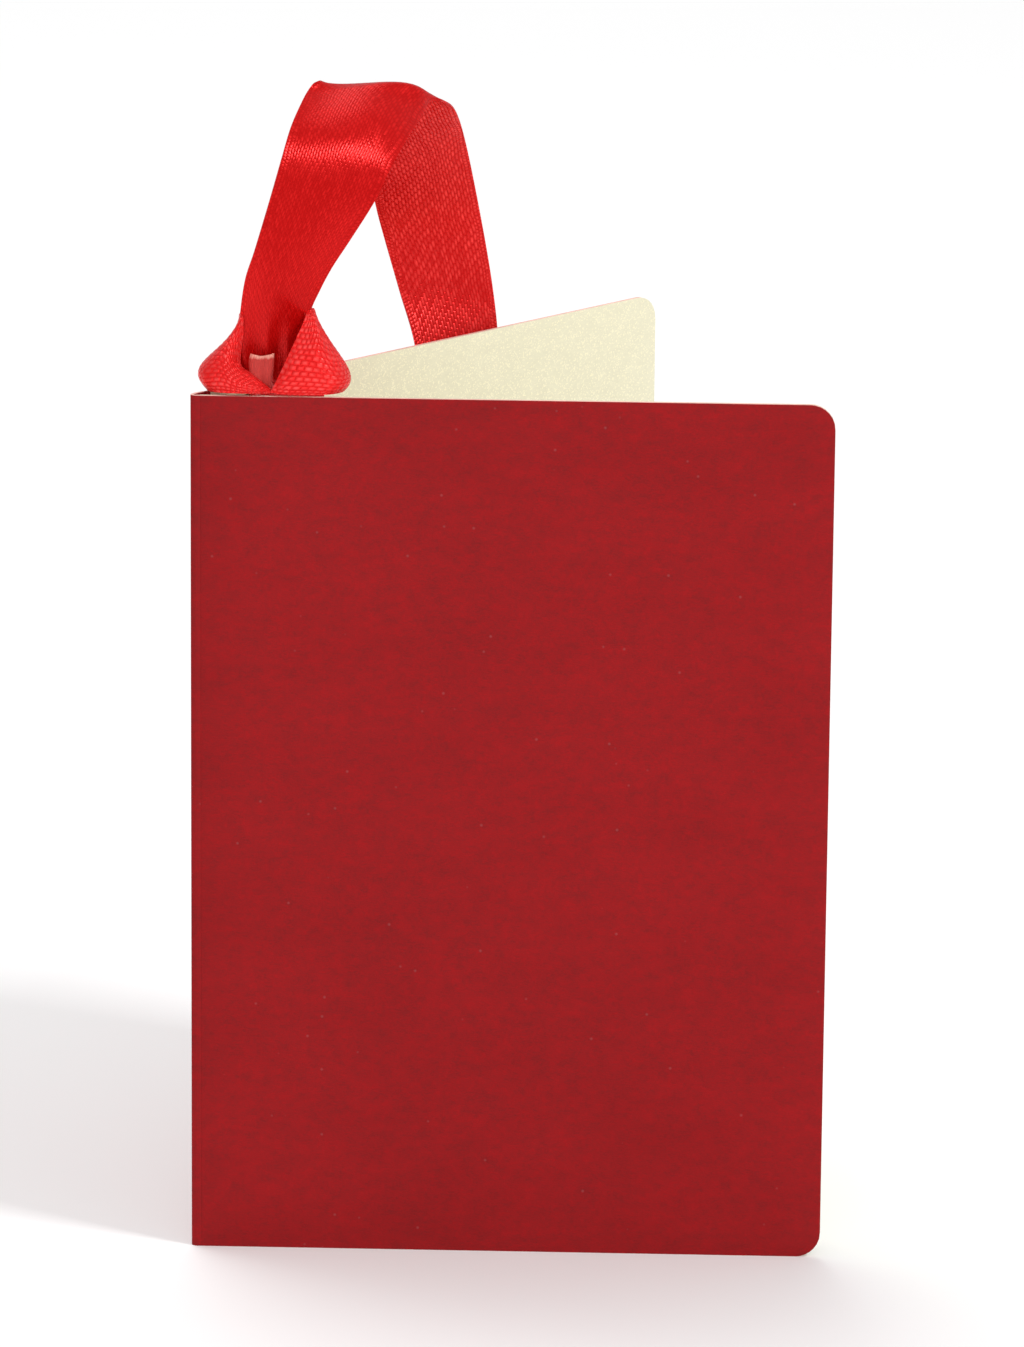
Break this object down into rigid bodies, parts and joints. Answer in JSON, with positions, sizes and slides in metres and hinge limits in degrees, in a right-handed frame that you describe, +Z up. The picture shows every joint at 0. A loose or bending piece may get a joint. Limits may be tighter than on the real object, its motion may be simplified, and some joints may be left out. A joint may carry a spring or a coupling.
{
  "type": "pocket notebook",
  "caption": "Small upright notebook with a two-tone card cover, a square glued spine, thin leaves and a satin ribbon loop knotted through the back cover.",
  "frame": {"origin": "middle of the base of the whole object's box, on the surface that it stands on", "axes": "+Z up along the spine and the covers' height; the front cover lies along +X, spine on the left, its outer face looking along -Y"},
  "size_m": [0.0754, 0.0572, 0.1393],
  "materials": {
    "card_red": "matte uncoated card, dark red, fine fibre mottling",
    "pearl_ivory": "pearly ivory paper with fine sparkle",
    "leaf_paper": "plain uncoated writing paper",
    "glue": "dried flexible binding glue",
    "satin_red": "glossy woven satin ribbon, bright red"
  },
  "bodies": {
    "spine": {"spine_card": "card_red", "binding_glue": "glue"},
    "front_cover": {"front_cover": "card_red", "front_lining": "pearl_ivory"},
    "leaf_01": {"leaf_01": "leaf_paper"},
    "leaf_02": {"leaf_02": "leaf_paper"},
    "leaf_03": {"leaf_03": "leaf_paper"},
    "leaf_04": {"leaf_04": "leaf_paper"},
    "leaf_05": {"leaf_05": "leaf_paper"},
    "leaf_06": {"leaf_06": "leaf_paper"},
    "leaf_07": {"leaf_07": "leaf_paper"},
    "leaf_08": {"leaf_08": "leaf_paper"},
    "leaf_09": {"leaf_09": "leaf_paper"},
    "leaf_10": {"leaf_10": "leaf_paper"},
    "back_cover": {"back_cover": "card_red", "back_lining": "pearl_ivory", "ribbon_stem": "satin_red", "ribbon_top_fold": "satin_red", "ribbon_back_strand": "satin_red", "ribbon_through_hole": "satin_red", "ribbon_return": "satin_red", "ribbon_inner_strand": "satin_red", "ribbon_knot_core": "satin_red", "ribbon_left_lapel": "satin_red", "ribbon_right_lapel": "satin_red", "ribbon_cut_end": "satin_red"}
  },
  "joints": [
    {"name": "front_crease", "type": "hinge", "parent": "spine", "child": "front_cover", "pos_m": [-0.03771, -0.02857, 0.0525], "axis": [0, 0, -1], "range_deg": [0, 120]},
    {"name": "leaf_01_turn", "type": "hinge", "parent": "spine", "child": "leaf_01", "pos_m": [-0.03624, -0.02625, 0.0525], "axis": [0, 0, 1], "range_deg": [-0.25, 8]},
    {"name": "leaf_02_turn", "type": "hinge", "parent": "leaf_01", "child": "leaf_02", "pos_m": [-0.03624, -0.02625, 0.0525], "axis": [0, 0, 1], "range_deg": [-0.25, 8]},
    {"name": "leaf_03_turn", "type": "hinge", "parent": "leaf_02", "child": "leaf_03", "pos_m": [-0.03624, -0.02625, 0.0525], "axis": [0, 0, 1], "range_deg": [-0.25, 8]},
    {"name": "leaf_04_turn", "type": "hinge", "parent": "leaf_03", "child": "leaf_04", "pos_m": [-0.03624, -0.02625, 0.0525], "axis": [0, 0, 1], "range_deg": [-0.25, 8]},
    {"name": "leaf_05_turn", "type": "hinge", "parent": "leaf_04", "child": "leaf_05", "pos_m": [-0.03624, -0.02625, 0.0525], "axis": [0, 0, 1], "range_deg": [-0.25, 8]},
    {"name": "leaf_06_turn", "type": "hinge", "parent": "leaf_05", "child": "leaf_06", "pos_m": [-0.03624, -0.02625, 0.0525], "axis": [0, 0, 1], "range_deg": [-0.25, 8]},
    {"name": "leaf_07_turn", "type": "hinge", "parent": "leaf_06", "child": "leaf_07", "pos_m": [-0.03624, -0.02625, 0.0525], "axis": [0, 0, 1], "range_deg": [-0.25, 8]},
    {"name": "leaf_08_turn", "type": "hinge", "parent": "leaf_07", "child": "leaf_08", "pos_m": [-0.03624, -0.02625, 0.0525], "axis": [0, 0, 1], "range_deg": [-0.25, 8]},
    {"name": "leaf_09_turn", "type": "hinge", "parent": "leaf_08", "child": "leaf_09", "pos_m": [-0.03624, -0.02625, 0.0525], "axis": [0, 0, 1], "range_deg": [-0.25, 8]},
    {"name": "leaf_10_turn", "type": "hinge", "parent": "leaf_09", "child": "leaf_10", "pos_m": [-0.03624, -0.02625, 0.0525], "axis": [0, 0, 1], "range_deg": [-0.25, 8]},
    {"name": "back_crease", "type": "hinge", "parent": "leaf_10", "child": "back_cover", "pos_m": [-0.03624, -0.02625, 0.0525], "axis": [0, 0, 1], "range_deg": [-42, 80]}
  ]
}
